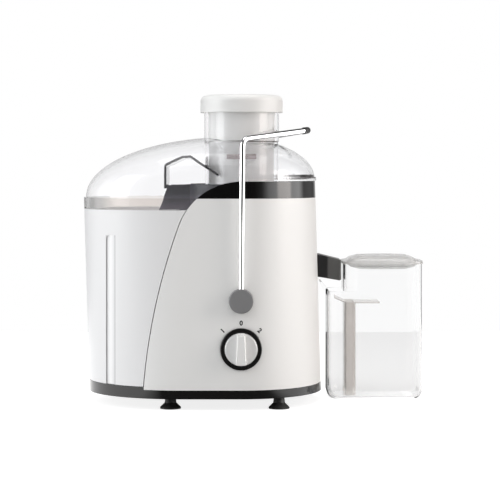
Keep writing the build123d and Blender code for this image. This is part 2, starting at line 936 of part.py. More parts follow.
with BuildPart() as motor_shaft:
    with BuildSketch(level.offset(shaft_foot)):
        Circle(shaft_radius - hub_press_gap)
    extrude(amount=grater_foot + grater_thickness + cut_over - shaft_foot)
    with BuildSketch(level.offset(grater_foot + grater_thickness)):
        Circle(shaft_radius + shaft_nut_flange)
    extrude(amount=shaft_nut_height)
    fillet(motor_shaft.edges().group_by(Axis.Z)[-1], shaft_nut_edge)
write(motor_shaft, "motor_shaft")

with BuildPart() as armature_core:
    with BuildSketch(level.offset(stack_foot)):
        Circle(armature_radius)
        Circle(shaft_radius, mode=Mode.SUBTRACT)
        with PolarLocations(armature_radius - armature_slot_inset, armature_slots):
            SlotOverall(armature_slot_length, armature_slot_width, mode=Mode.SUBTRACT)
        with PolarLocations(armature_radius, armature_slots):
            Rectangle(slot_mouth_depth, slot_mouth_width, mode=Mode.SUBTRACT)
    extrude(amount=stack_height)
write(armature_core, "armature_core")

with BuildPart() as armature_windings:
    for foot in (stack_foot - coil_end, stack_top):
        add(ring(foot, coil_end, armature_radius - winding_inset, shaft_radius + shaft_room))
    outer_edges = armature_windings.edges().filter_by(GeomType.CIRCLE).sort_by(SortBy.RADIUS)[-4:]
    fillet(outer_edges, winding_edge)
write(armature_windings, "armature_windings")

with BuildPart() as commutator:
    with BuildSketch(level.offset(commutator_foot)):
        Circle(commutator_radius)
        Circle(shaft_radius, mode=Mode.SUBTRACT)
        with PolarLocations(commutator_radius, commutator_bars):
            Rectangle(bar_gap_depth, bar_gap_width, mode=Mode.SUBTRACT)
    extrude(amount=stack_foot - coil_end - commutator_foot)
write(commutator, "commutator")

with BuildPart() as cooling_fan:
    add(ring(fan_foot, fan_height, fan_hub, shaft_radius))
    add(ring(fan_foot + fan_height - fan_plate, fan_plate, fan_radius, shaft_radius))
    with BuildSketch(level.offset(fan_foot)):
        with PolarLocations((fan_radius + fan_blade_start) / 2, fan_blades):
            Rectangle(fan_radius - fan_blade_start, fan_blade, rotation=fan_blade_turn)
    extrude(amount=fan_height)
write(cooling_fan, "cooling_fan")


with BuildPart() as motor_stator:
    with BuildSketch(level.offset(stack_foot)):
        Circle(stator_radius)
        Circle(stator_bore, mode=Mode.SUBTRACT)
        for side in (0, 180):
            for turn in (-slot_middle, slot_middle):
                add(
                    sector(stator_bore - cut_over, coil_outer + slip_gap, side + turn, slot_half_angle),
                    mode=Mode.SUBTRACT,
                )
        with PolarLocations(stack_screw_place, 2, 90):
            Circle(stack_screw_radius + slip_gap / 2, mode=Mode.SUBTRACT)
    extrude(amount=stack_height)
write(motor_stator, "motor_stator")

with BuildPart() as field_coils:
    for side in (0, 180):
        with BuildSketch(level.offset(stack_foot - coil_end)):
            add(sector(coil_inner, coil_outer, side, coil_half_angle - coil_gap_angle))
        extrude(amount=stack_height + 2 * coil_end)
        with BuildSketch(level.offset(stack_foot - slip_gap)):
            window = coil_window_angle + coil_gap_angle
            add(sector(coil_inner - cut_over, coil_outer + cut_over, side, window))
        extrude(amount=stack_height + 2 * slip_gap, mode=Mode.SUBTRACT)
write(field_coils, "field_coils")


def bearing_bracket(plate_foot, wall_foot, wall_top):
    """Round motor bracket: a plate with the bearing's seat and a ring wall up to the stack."""
    with BuildPart() as bracket:
        with BuildSketch(level.offset(plate_foot)):
            Circle(stator_radius)
        extrude(amount=bracket_thickness)
        add(ring(wall_foot, wall_top - wall_foot, stator_radius, stator_radius - bracket_wall))
        cup_height = bearing_width + bearing_cap
        add(ring(plate_foot, cup_height, bearing_radius + bearing_cup_wall, shaft_radius + shaft_room))
        with BuildSketch(level.offset(plate_foot)):
            Circle(bearing_radius)
        extrude(amount=bearing_width, mode=Mode.SUBTRACT)
        with BuildSketch(level.offset(plate_foot)):
            Circle(shaft_radius + shaft_room)
        extrude(amount=bearing_width * 2, mode=Mode.SUBTRACT)
        with BuildSketch(level.offset(wall_foot)):
            with PolarLocations(stack_screw_place, 2, 90):
                Circle(stack_screw_radius)
        extrude(amount=wall_top - wall_foot, mode=Mode.SUBTRACT)
    return bracket.part


holder_height = (commutator_foot + stack_foot - coil_end) / 2
brush_start = commutator_radius + running_gap
holder_start = brush_start + holder_gap
holder_size = brush_size + 2 * holder_wall
with BuildPart() as lower_bracket:
    add(bearing_bracket(lower_bracket_foot, lower_bracket_foot, stack_foot))
    with BuildSketch(level.offset(holder_height - holder_size / 2 - slip_gap)):
        with Locations((0, 0)):
            Rectangle(4 * stator_radius, holder_size + 2 * slip_gap)
            Circle(stator_radius - bracket_wall - cut_over, mode=Mode.SUBTRACT)
    extrude(amount=holder_size + 2 * slip_gap, mode=Mode.SUBTRACT)
write(lower_bracket, "lower_bracket")

with BuildPart() as upper_bracket:
    add(bearing_bracket(upper_bracket_foot, stack_top, upper_bracket_foot + bracket_thickness))
    with BuildSketch(level.offset(upper_bracket_foot)):
        with PolarLocations((bracket_post_place + stator_radius) / 2, posts, post_start_angle):
            Rectangle(bracket_post_place - stator_radius + 2 * arm_overlap, 2 * mount_radius)
        with PolarLocations(bracket_post_place, posts, post_start_angle):
            Circle(mount_radius)
    extrude(amount=bracket_thickness)
    with BuildSketch(level.offset(upper_bracket_foot)):
        with PolarLocations(bracket_post_place, posts, post_start_angle):
            Circle(motor_screw_radius + slip_gap)
    extrude(amount=bracket_thickness, mode=Mode.SUBTRACT)
write(upper_bracket, "upper_bracket")

for name, foot in (("lower_bearing", lower_bracket_foot), ("upper_bearing", upper_bracket_foot)):
    with BuildPart() as bearing:
        add(ring(foot, bearing_width, bearing_radius, shaft_radius + running_gap))
        for face_height in (foot, foot + bearing_width - bearing_groove):
            add(
                ring(face_height, bearing_groove, bearing_radius - race_width, shaft_radius + race_width),
                mode=Mode.SUBTRACT,
            )
    write(bearing, name)

with BuildPart() as stack_screws:
    with BuildSketch(level.offset(lower_bracket_foot - stack_screw_head)):
        with PolarLocations(stack_screw_place, 2, 90):
            Circle(stack_screw_head_radius)
    extrude(amount=stack_screw_head)
    with BuildSketch(level.offset(lower_bracket_foot - stack_screw_head / 2)):
        with PolarLocations(stack_screw_place, 2, 90):
            Circle(stack_screw_radius)
    screw_end = upper_bracket_foot + bracket_thickness
    extrude(amount=screw_end - lower_bracket_foot + stack_screw_head / 2)
write(stack_screws, "stack_screws")

mount_foot = upper_bracket_foot + bracket_thickness
with BuildPart() as rubber_mounts:
    with BuildSketch(level.offset(mount_foot)):
        with PolarLocations(bracket_post_place, posts, post_start_angle):
            Circle(mount_radius)
            Circle(motor_screw_radius + running_gap, mode=Mode.SUBTRACT)
    extrude(amount=deck_height - mount_foot)
write(rubber_mounts, "rubber_mounts")

with BuildPart() as motor_screws:
    with BuildSketch(level.offset(upper_bracket_foot - motor_screw_head)):
        with PolarLocations(bracket_post_place, posts, post_start_angle):
            Circle(motor_screw_radius * 2)
            RegularPolygon(hex_socket, 6, mode=Mode.SUBTRACT)
    extrude(amount=motor_screw_head)
    with BuildSketch(level.offset(upper_bracket_foot - motor_screw_head / 2)):
        with PolarLocations(bracket_post_place, posts, post_start_angle):
            Circle(motor_screw_radius)
    extrude(amount=deck_top + motor_screw_head / 2 - upper_bracket_foot)
write(motor_screws, "motor_screws")

holder_end = holder_start + holder_length
with BuildPart() as brush_holders:
    for side in (1, -1):
        with BuildSketch(level.offset(holder_height - holder_size / 2)):
            with Locations((side * (holder_start + holder_length / 2), 0)):
                Rectangle(holder_length, holder_size)
        extrude(amount=holder_size)
        with BuildSketch(level.offset(holder_height - brush_size / 2 - running_gap)):
            with Locations((side * (holder_start + holder_length / 2 - holder_back), 0)):
                Rectangle(holder_length, brush_size + 2 * running_gap)
        extrude(amount=brush_size + 2 * running_gap, mode=Mode.SUBTRACT)
write(brush_holders, "brush_holders")

with BuildPart() as carbon_brushes:
    with BuildSketch(level.offset(holder_height - brush_size / 2)):
        for side in (1, -1):
            with Locations((side * (brush_start + brush_length / 2), 0)):
                Rectangle(brush_length, brush_size)
        Circle(brush_start, mode=Mode.SUBTRACT)
    extrude(amount=brush_size)
write(carbon_brushes, "carbon_brushes")

# ================================================================ speed dial, knob and switch
pocket_face = panel_at_dial - dial_pocket
with BuildPart() as dial_bezel:
    with BuildSketch(upright.offset(pocket_face)):
        with Locations((0, dial_height)):
            Circle(dial_radius)
            Circle(dial_bore, mode=Mode.SUBTRACT)
    extrude(amount=dial_depth)
    fillet(dial_bezel.edges().group_by(Axis.Y)[0], bezel_edge)
write(dial_bezel, "dial_bezel")

knob_radius = dial_bore - knob_gap
knob_back = pocket_face + slip_gap
with BuildPart() as speed_knob:
    with BuildSketch(upright.offset(knob_back)):
        with Locations((0, dial_height)):
            Circle(knob_radius)
    extrude(amount=knob_depth)
    fillet(speed_knob.edges().group_by(Axis.Y)[0], knob_edge)
    with BuildSketch(upright.offset(knob_back + knob_depth)):
        with BuildLine():
            Polyline(
                (-grip_foot_width / 2, dial_height - knob_radius + grip_inset),
                (grip_foot_width / 2, dial_height - knob_radius + grip_inset),
                (grip_top_width / 2, dial_height + knob_radius - grip_inset),
                (-grip_top_width / 2, dial_height + knob_radius - grip_inset),
                close=True,
            )
        make_face()
        with Locations((0, dial_height)):
            Circle(knob_radius - grip_rim, mode=Mode.INTERSECT)
    extrude(amount=grip_height, taper=grip_taper)
    fillet(speed_knob.edges().group_by(Axis.Y)[0], grip_edge)
    with BuildSketch(upright.offset(knob_back)):
        with Locations((0, dial_height)):
            Circle(spindle_radius)
    extrude(amount=knob_depth, mode=Mode.SUBTRACT)
write(speed_knob, "speed_knob")

switch_face = panel_at_dial - dial_boss - slip_gap
with BuildPart() as knob_spindle:
    with BuildSketch(upright.offset(switch_face - switch_depth / 2)):
        with Locations((0, dial_height)):
            Circle(spindle_radius)
    extrude(amount=knob_back + knob_depth - switch_face + switch_depth / 2)
write(knob_spindle, "knob_spindle")

with BuildPart() as rotary_switch:
    with BuildSketch(upright.offset(switch_face - switch_depth)):
        with Locations((0, dial_height)):
            Rectangle(switch_size, switch_size)
    extrude(amount=switch_depth)
    fillet(rotary_switch.edges().filter_by(Axis.Y), switch_edge)
    with BuildSketch(upright.offset(switch_face)):
        with Locations((0, dial_height)):
            Circle(spindle_radius + running_gap)
    extrude(amount=-switch_depth / 2 - slip_gap, mode=Mode.SUBTRACT)
    for x in pin_places:
        with BuildSketch(upright.offset(switch_face - switch_depth)):
            with Locations((x, dial_height - pin_drop)):
                Rectangle(pin_thickness, pin_width)
        extrude(amount=-pin_length)
write(rotary_switch, "rotary_switch")

# ================================================================ locking bail on its two pivots
for name, face, side in (("front", upright, 1), ("rear", rear_upright, -1)):
    with BuildPart() as pivot_bush:
        with BuildSketch(face.offset(wall_face)):
            with Locations((0, pivot_height)):
                Circle(bush_flange)
                Circle(stub_radius + running_gap, mode=Mode.SUBTRACT)
        extrude(amount=bush_flange_thickness)
        with BuildSketch(face.offset(wall_face)):
            with Locations((0, pivot_height)):
                Circle(bush_radius)
                Circle(stub_radius + running_gap, mode=Mode.SUBTRACT)
        extrude(amount=-bush_length)
    write(pivot_bush, f"pivot_bush_{name}")

    with BuildPart() as pivot_cap:
        with BuildSketch(face.offset(cap_back)):
            with Locations((0, pivot_height)):
                Circle(pivot_cap_radius)
        extrude(amount=pivot_cap_depth)
        fillet(pivot_cap.edges().sort_by(Axis.Y)[0 if side > 0 else -1], pivot_cap_edge)
        with BuildSketch(face.offset(cap_back)):
            with Locations((0, pivot_height)):
                Circle(stub_radius)
        extrude(amount=-(bush_length + bush_flange_thickness + slip_gap + stub_reach))
        with BuildSketch(face.offset(cap_back)):
            with Locations((0, pivot_height)):
                Circle(pivot_screw_radius)
        extrude(amount=-(2 * bush_length), mode=Mode.SUBTRACT)
        with BuildSketch(level.offset(bail_foot)):
            with Locations((0, -side * bail_offset)):
                Circle(wire_radius + slip_gap)
        extrude(amount=pivot_cap_radius * 3, mode=Mode.SUBTRACT)
    write(pivot_cap, f"pivot_cap_{name}")

with BuildPart() as pivot_screws:
    for face in (upright, rear_upright):
        stub_end_face = panel_at_pivot + bush_flange_gap - bush_length - stub_reach
        with BuildSketch(face.offset(stub_end_face)):
            with Locations((0, pivot_height)):
                Circle(pivot_screw_head_radius)
        extrude(amount=-pivot_screw_head)
        with BuildSketch(face.offset(stub_end_face)):
            with Locations((0, pivot_height)):
                Circle(pivot_screw_radius)
        extrude(amount=pivot_screw_length)
        with BuildSketch(face.offset(stub_end_face - pivot_screw_head)):
            with Locations((0, pivot_height)):
                Rectangle(pivot_screw_head_radius, screw_slot_width)
        extrude(amount=screw_slot_depth, mode=Mode.SUBTRACT)
write(pivot_screws, "pivot_screws")

nose_x, nose_z = bail_apex
bail_corners = [
    (axis_x, axis_y - bail_offset, bail_foot + slip_gap),
    (axis_x + bail_lean, axis_y - bail_offset, bail_shoulder),
    (axis_x + nose_x, axis_y, nose_z),
    (axis_x + bail_lean, axis_y + bail_offset, bail_shoulder),
    (axis_x, axis_y + bail_offset, bail_foot + slip_gap),
]
with BuildPart() as bail_wire:
    with BuildLine() as bail_path:
        FilletPolyline(*bail_corners, radius=(bail_bend, bail_nose_bend, bail_bend))
    with BuildSketch(Plane(bail_path.wire() @ 0, z_dir=bail_path.wire() % 0)):
        Circle(wire_radius)
    sweep(path=bail_path.wire())
write(bail_wire, "bail_wire")

with BuildPart() as bail_grip:
    with BuildLine() as grip_path:
        FilletPolyline(*bail_corners, radius=(bail_bend, bail_nose_bend, bail_bend))
    nose_arc = grip_path.wire().edges().filter_by(GeomType.CIRCLE).sort_by(Axis.X)[-1]
    with BuildSketch(Plane(nose_arc @ 0, z_dir=nose_arc % 0)):
        Circle(wire_radius + grip_sleeve_wall)
        Circle(wire_radius, mode=Mode.SUBTRACT)
    sweep(path=nose_arc)
write(bail_grip, "bail_grip")

# ================================================================ switch of the lock and cord gland
lock_switch_y = panel_at_pivot - body_wall - slip_gap - lock_switch_depth / 2
lock_switch_top = pivot_height - bush_radius - lock_switch_drop
with BuildPart() as safety_switch:
    with BuildSketch(level.offset(lock_switch_top)):
        with Locations((-lock_switch_width / 2, lock_switch_y)):
            Rectangle(lock_switch_width, lock_switch_depth)
    extrude(amount=-lock_switch_height)
    with BuildSketch(level.offset(lock_switch_top)):
        with Locations((-lock_button_width, lock_switch_y)):
            Rectangle(lock_button_width, lock_switch_depth / 2)
    extrude(amount=lock_button_height)
write(safety_switch, "safety_switch")

with BuildPart() as cord_gland:
    gland_face = body_half_depth(gland_height)
    with BuildSketch(rear_upright.offset(gland_face + bush_flange_gap)):
        with Locations((-gland_x, gland_height)):
            Circle(gland_flange)
            Circle(gland_bore, mode=Mode.SUBTRACT)
    extrude(amount=gland_flange_thickness)
    with BuildSketch(rear_upright.offset(gland_face + bush_flange_gap)):
        with Locations((-gland_x, gland_height)):
            Rectangle(gland_side, gland_side)
            Circle(gland_bore, mode=Mode.SUBTRACT)
    extrude(amount=-body_wall - gland_reach)
write(cord_gland, "cord_gland")

# ================================================================ juice jug, its lid and froth separator
jug_level = Plane((axis_x + (jug_left + jug_right) / 2, axis_y + jug_y, 0))
jug_length = jug_right - jug_left
main_length = jug_length - inlet_width
main_shift = inlet_width / 2


def jug_block(height, inset, amount, main_only=False):
    """Upright block with rounded corners inside the jug's outline, or its main chamber's."""
    with BuildPart() as block:
        with BuildSketch(jug_level.offset(height)):
            with Locations((main_shift if main_only else 0, 0)):
                RectangleRounded(
                    (main_length if main_only else jug_length) - 2 * inset,
                    jug_depth - 2 * inset,
                    jug_corner - inset,
                )
        extrude(amount=amount)
    return block.part


jug_upright = Plane(jug_level.origin, x_dir=(1, 0, 0), z_dir=(0, -1, 0))
with BuildPart() as jug_space:
    add(jug_block(jug_floor, jug_wall, inlet_height - jug_floor))
    fillet(jug_space.edges().group_by(Axis.Z)[0], jug_foot_round - jug_wall)
    add(jug_block(inlet_height - inlet_blend, jug_wall, jug_height, main_only=True))

with BuildPart() as jug:
    add(jug_block(0, 0, inlet_height))
    fillet(jug.edges().group_by(Axis.Z)[0], jug_foot_round)
    add(jug_block(inlet_height - jug_join, 0, jug_height - inlet_height + jug_join, main_only=True))
    add(jug_space.part, mode=Mode.SUBTRACT)
    # Flared lip under the spout
    with BuildSketch(jug_upright):
        with BuildLine():
            Polyline(
                (-jug_length / 2, inlet_height - inlet_blend),
                (-jug_length / 2 - lip_reach, inlet_height + lip_rise),
                (-jug_length / 2 - lip_reach + jug_wall, inlet_height + lip_rise),
                (-jug_length / 2 + jug_wall, inlet_height),
                (-jug_length / 2 + jug_wall, inlet_height - inlet_blend),
                close=True,
            )
        make_face()
    extrude(amount=lip_half, both=True)
write(jug, "jug")

lid_seat = jug_height + slip_gap
lid_inset = jug_wall + jug_lid_gap


def crown(foot, inset, way):
    """Shallow crown over the jug's main chamber, upwards with way 1 or downwards with way -1."""
    with BuildPart() as block:
        for (first, low), (second, high) in zip(crown_steps, crown_steps[1:]):
            sections = []
            for step, rise in ((first, low), (second, high)):
                with BuildSketch(jug_level.offset(foot + way * rise)) as section:
                    with Locations((main_shift, 0)):
                        RectangleRounded(
                            main_length - 2 * (inset + step),
                            jug_depth - 2 * (inset + step),
                            max(jug_corner - inset - step, crown_corner),
                        )
                sections.append(section.sketch)
            loft(sections, ruled=True)
    return block.part


with BuildPart() as jug_lid:
    add(jug_block(lid_seat, -jug_lid_edge, jug_lid_flange, main_only=True))
    add(crown(lid_seat + jug_lid_flange, lid_inset, 1))
    add(crown(lid_seat, lid_inset, -1))
    add(jug_block(lid_seat, lid_inset + jug_lid_wall, jug_lid_flange, main_only=True), mode=Mode.SUBTRACT)
    add(crown(lid_seat + jug_lid_flange - jug_lid_wall, lid_inset + jug_lid_wall, 1), mode=Mode.SUBTRACT)
    add(crown(lid_seat + jug_lid_wall, lid_inset + jug_lid_wall, -1), mode=Mode.SUBTRACT)
write(jug_lid, "jug_lid")

# Channel that stands on the jug's floor, with a shelf, and an arm that leads the juice down
jug_middle = (jug_left + jug_right) / 2
channel_left = separator_left - jug_middle
channel_right = channel_left + separator_width
channel_foot = jug_floor + slip_gap
arm_x, arm_z = separator_arm
with BuildPart() as froth_separator:
    with BuildSketch(jug_level.offset(channel_foot)):
        with Locations(((channel_left + channel_right) / 2, 0)):
            RectangleRounded(separator_width, 2 * separator_half, separator_round)
            RectangleRounded(
                separator_width - 2 * separator_wall,
                2 * (separator_half - separator_wall),
                separator_round - separator_wall,
                mode=Mode.SUBTRACT,
            )
    extrude(amount=separator_top - channel_foot)
    with BuildSketch(jug_upright):
        with BuildLine():
            Polyline(
                (arm_x - jug_middle, arm_z),
                (channel_left + separator_wall, separator_top),
                (channel_left + separator_wall, separator_top - separator_wall),
                (arm_x - jug_middle, arm_z - separator_wall),
                close=True,
            )
        make_face()
    extrude(amount=separator_half - separator_round, both=True)
    with BuildSketch(jug_level.offset(separator_top - separator_wall)):
        with Locations((channel_right + (separator_shelf - separator_wall) / 2, 0)):
            Rectangle(separator_shelf + separator_wall, 2 * (separator_half - separator_round))
    extrude(amount=separator_wall)
    # Way through for the juice at the foot
    with BuildSketch(jug_level.offset(channel_foot)):
        with Locations((channel_right, 0)):
            Rectangle(4 * separator_width, 2 * (separator_half - separator_round))
    extrude(amount=separator_slot, mode=Mode.SUBTRACT)
write(froth_separator, "froth_separator")
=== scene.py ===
import math

import bmesh
import bpy
from mathutils import Matrix, Vector


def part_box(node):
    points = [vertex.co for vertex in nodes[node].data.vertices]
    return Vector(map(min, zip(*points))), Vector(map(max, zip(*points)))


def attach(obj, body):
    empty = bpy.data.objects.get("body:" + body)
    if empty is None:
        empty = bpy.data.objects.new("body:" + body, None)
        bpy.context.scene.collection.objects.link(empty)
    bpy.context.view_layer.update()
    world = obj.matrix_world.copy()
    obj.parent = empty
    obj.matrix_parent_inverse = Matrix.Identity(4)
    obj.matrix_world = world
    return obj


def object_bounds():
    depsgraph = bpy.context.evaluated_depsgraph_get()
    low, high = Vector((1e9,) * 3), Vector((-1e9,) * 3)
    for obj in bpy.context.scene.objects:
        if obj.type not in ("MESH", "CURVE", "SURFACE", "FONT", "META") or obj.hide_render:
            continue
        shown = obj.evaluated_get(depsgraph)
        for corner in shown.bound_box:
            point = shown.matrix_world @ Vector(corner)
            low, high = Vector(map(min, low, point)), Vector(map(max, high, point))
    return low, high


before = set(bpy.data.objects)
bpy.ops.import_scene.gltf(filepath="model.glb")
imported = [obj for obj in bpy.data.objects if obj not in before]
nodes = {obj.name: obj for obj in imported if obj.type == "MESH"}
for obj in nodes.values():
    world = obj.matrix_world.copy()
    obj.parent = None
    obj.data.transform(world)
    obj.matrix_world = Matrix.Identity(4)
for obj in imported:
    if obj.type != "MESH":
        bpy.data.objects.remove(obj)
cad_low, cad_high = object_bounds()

# Metres, Z up, the front faces -Y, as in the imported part
MM = 0.001
shaft_low, shaft_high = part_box("motor_shaft")
AXIS = Vector(((shaft_low.x + shaft_high.x) / 2, (shaft_low.y + shaft_high.y) / 2, 0))

# ------------------------------------------------------------------ node helpers


def node(owner, kind, **settings):
    """A new node in a material or the world, with plain settings on it."""
    made = owner.node_tree.nodes.new(kind)
    for name, value in settings.items():
        setattr(made, name, value)
    return made


def wire(owner, source, target):
    """Join two sockets."""
    owner.node_tree.links.new(source, target)


def feed(owner, value, socket):
    """Put another socket's output, a colour or a plain number into a socket."""
    if isinstance(value, bpy.types.NodeSocket):
        wire(owner, value, socket)
    elif isinstance(value, tuple):
        socket.default_value = (*value, 1)
    else:
        socket.default_value = value


def sum_of(owner, operation, *values, clamp=False):
    """Result of a sum on sockets and numbers."""
    made = node(owner, "ShaderNodeMath", operation=operation, use_clamp=clamp)
    for value, socket in zip(values, made.inputs):
        feed(owner, value, socket)
    return made.outputs[0]


def between(owner, value, low, high, start=0.3, end=0.7):
    """A number that goes from low to high as value goes from start to end."""
    made = node(owner, "ShaderNodeMapRange")
    for socket, number in zip(("From Min", "From Max", "To Min", "To Max"), (start, end, low, high)):
        made.inputs[socket].default_value = number
    wire(owner, value, made.inputs["Value"])
    return made.outputs["Result"]


def within(owner, value, low, high, edge):
    """One where the value lies between low and high, and zero elsewhere."""
    rise = between(owner, value, 0, 1, low - edge, low + edge)
    fall = between(owner, value, 1, 0, high - edge, high + edge)
    return sum_of(owner, "MULTIPLY", rise, fall)


def blend_colors(owner, share, first, second):
    """A colour that goes from first to second with share."""
    made = node(owner, "ShaderNodeMix", data_type="RGBA")
    sockets = {socket.identifier: socket for socket in made.inputs}
    feed(owner, first, sockets["A_Color"])
    feed(owner, second, sockets["B_Color"])
    wire(owner, share, sockets["Factor_Float"])
    return {socket.identifier: socket for socket in made.outputs}["Result_Color"]


def mixed_shader(owner, share, first, second):
    """A shader that goes from first to second with share."""
    made = node(owner, "ShaderNodeMixShader")
    for source, socket in zip((share, first, second), made.inputs):
        wire(owner, source, socket)
    return made.outputs[0]


def mirror_rays(owner):
    """One for rays that come off gloss, and zero for those that pass through clear plastic."""
    path = node(owner, "ShaderNodeLightPath")
    glossy, through = path.outputs["Is Glossy Ray"], path.outputs["Is Transmission Ray"]
    return sum_of(owner, "SUBTRACT", glossy, through, clamp=True)


# ------------------------------------------------------------------ material helpers


def plastic(name, color, roughness, **sockets):
    """A new Principled material, with its plain values on the shader's own sockets."""
    material = bpy.data.materials.new(name)
    material.use_nodes = True
    shader = shader_of(material)
    shader.inputs["Base Color"].default_value = (*color, 1)
    shader.inputs["Roughness"].default_value = roughness
    for socket, value in sockets.items():
        shader.inputs[socket.replace("_", " ")].default_value = value
    return material


def shader_of(material):
    return material.node_tree.nodes["Principled BSDF"]


def position(material, scale=(1, 1, 1)):
    """Coordinates in metres in the part's own frame, stretched by scale."""
    coordinates = node(material, "ShaderNodeTexCoord")
    mapping = node(material, "ShaderNodeMapping")
    mapping.inputs["Scale"].default_value = scale
    wire(material, coordinates.outputs["Object"], mapping.inputs["Vector"])
    return mapping.outputs["Vector"]


def place(material, axis):
    """Place along one axis, in metres in the part's own frame."""
    split = node(material, "ShaderNodeSeparateXYZ")
    wire(material, position(material), split.inputs[0])
    return split.outputs[axis]


def noise(material, scale, detail=3.0, stretch=(1, 1, 1)):
    """Value of a noise with its grains about 1 / scale metres apart."""
    made = node(material, "ShaderNodeTexNoise")
    made.inputs["Scale"].default_value = scale
    made.inputs["Detail"].default_value = detail
    wire(material, position(material, stretch), made.inputs["Vector"])
    return made.outputs["Fac"]


def relief(material, height, depth):
    """Bump of that depth in metres from a height value."""
    bump = node(material, "ShaderNodeBump")
    bump.inputs["Strength"].default_value = 1
    bump.inputs["Distance"].default_value = depth
    wire(material, height, bump.inputs["Height"])
    wire(material, bump.outputs["Normal"], shader_of(material).inputs["Normal"])


def vary(material, socket, value):
    """Drive one of the shader's sockets by a value."""
    wire(material, value, shader_of(material).inputs[socket])


def shaded(color, share):
    """The colour made darker by that share."""
    return tuple(c * (1 - share) for c in color)


def tint(material, share, color):
    """Blend another colour over the material's own where share is one."""
    base = shader_of(material).inputs["Base Color"]
    own = base.links[0].from_socket if base.is_linked else tuple(base.default_value)[:3]
    vary(material, "Base Color", blend_colors(material, share, own, color))


def moulded(name, color, roughness, grain=900, depth=0.02 * MM, mottle=0.03, **sockets):
    """Moulded plastic or rubber: a fine grain, a faint mottle and uneven gloss."""
    material = plastic(name, color, roughness, **sockets)
    tone = between(material, noise(material, scale=18), 0, 1, start=0.2, end=0.8)
    vary(material, "Base Color", blend_colors(material, tone, color, shaded(color, mottle)))
    gloss = noise(material, scale=60, detail=4)
    vary(material, "Roughness", between(material, gloss, roughness * 0.95, roughness * 1.05))
    relief(material, noise(material, scale=grain, detail=2), depth)
    return material


def clear(name, color, roughness=0.02, ior=1.35, transmission=1.0, ripple=0.006 * MM, uneven=0.3):
    """Clear or frosted plastic with the faint ripple of a moulded wall, which lamps shine through."""
    material = plastic(name, color, roughness, IOR=ior, Transmission_Weight=transmission)
    gloss = noise(material, scale=40)
    low, high = roughness * (1 - uneven), roughness * (1 + uneven)
    vary(material, "Roughness", between(material, gloss, low, high))
    relief(material, noise(material, scale=30, detail=1), ripple)
    path = node(material, "ShaderNodeLightPath")
    open_air = node(material, "ShaderNodeBsdfTransparent")
    open_air.inputs["Color"].default_value = (*shaded(color, WALL_SHADOW), 1)
    solid = shader_of(material).outputs[0]
    surface = mixed_shader(material, path.outputs["Is Shadow Ray"], solid, open_air.outputs[0])
    wire(material, surface, material.node_tree.nodes["Material Output"].inputs["Surface"])
    return material


def metal(name, color, roughness, stretch=(1, 1, 1), grain=700, depth=0.008 * MM):
    """Metal with fine brushing along the axis that stretch leaves short."""
    material = plastic(name, color, roughness, Metallic=1.0)
    brushing = noise(material, scale=grain, stretch=stretch)
    vary(material, "Base Color", blend_colors(material, brushing, color, shaded(color, 0.12)))
    vary(material, "Roughness", between(material, brushing, roughness * 0.8, roughness * 1.25))
    relief(material, brushing, depth)
    return material


# ------------------------------------------------------------------ materials
WALL_SHADOW = 0.07  # share of a lamp's light that a clear wall keeps back
CLEAR = (0.985, 0.985, 0.992)
EDGE = 0.2 * MM  # half the width of a tinted line's soft edge

white_body = moulded("white_body", (0.86, 0.86, 0.85), 0.34, depth=0.006 * MM, mottle=0.004)
black_band = moulded("black_band", (0.005, 0.0045, 0.0045), 0.13, depth=0.004 * MM, mottle=0.1)
black_tray = moulded("black_tray", (0.003, 0.0028, 0.0028), 0.1, depth=0.003 * MM, mottle=0.15)
black_part = moulded("black_part", (0.022, 0.022, 0.023), 0.34, depth=0.006 * MM, mottle=0.2)
grey_cap = moulded("grey_cap", (0.22, 0.22, 0.225), 0.5, grain=1400, depth=0.04 * MM, mottle=0.12)
rubber = moulded("rubber", (0.012, 0.012, 0.012), 0.55, grain=1200, depth=0.03 * MM, mottle=0.2)
carbon = moulded("carbon", (0.02, 0.02, 0.02), 0.6, grain=1500, mottle=0.3)
black_print = moulded("black_print", (0.012, 0.012, 0.012), 0.5, mottle=0.2)
lock_mark = moulded("lock_mark", (0.2, 0.16, 0.16), 0.4, mottle=0.1)
clear_jug = clear("clear_jug", (0.985, 0.986, 0.987), ior=1.3)
clear_hood = clear("clear_hood", (0.03, 0.029, 0.034), 0.08, ior=1.4, transmission=0.5)
grey_lid = clear("grey_lid", (0.84, 0.84, 0.835), 0.2, transmission=0.75)
separator = clear("separator", (0.8, 0.775, 0.755), 0.15, transmission=0.8)
chrome = metal("chrome", (0.9, 0.9, 0.9), 0.06, depth=0.002 * MM)
steel = metal("steel", (0.6, 0.6, 0.61), 0.25, stretch=(1, 1, 0.08))
stator_steel = metal("stator_steel", (0.3, 0.3, 0.31), 0.4, stretch=(0.05, 0.05, 4))
copper = metal("copper", (0.65, 0.28, 0.13), 0.3, stretch=(1, 1, 0.1), grain=1500, depth=0.04 * MM)
brass = metal("brass", (0.75, 0.55, 0.24), 0.3)


def frosted_plastic(name, color, roughness, ior, transmission):
    """Frosted plastic with a smooth wall and even gloss."""
    return clear(name, color, roughness, ior, transmission, ripple=0.001 * MM, uneven=0.04)


frosted = frosted_plastic("frosted", (0.76, 0.76, 0.75), 0.3, ior=1.3, transmission=0.45)
frosted_cap = frosted_plastic("frosted_cap", (0.83, 0.83, 0.82), 0.32, ior=1.4, transmission=0.08)


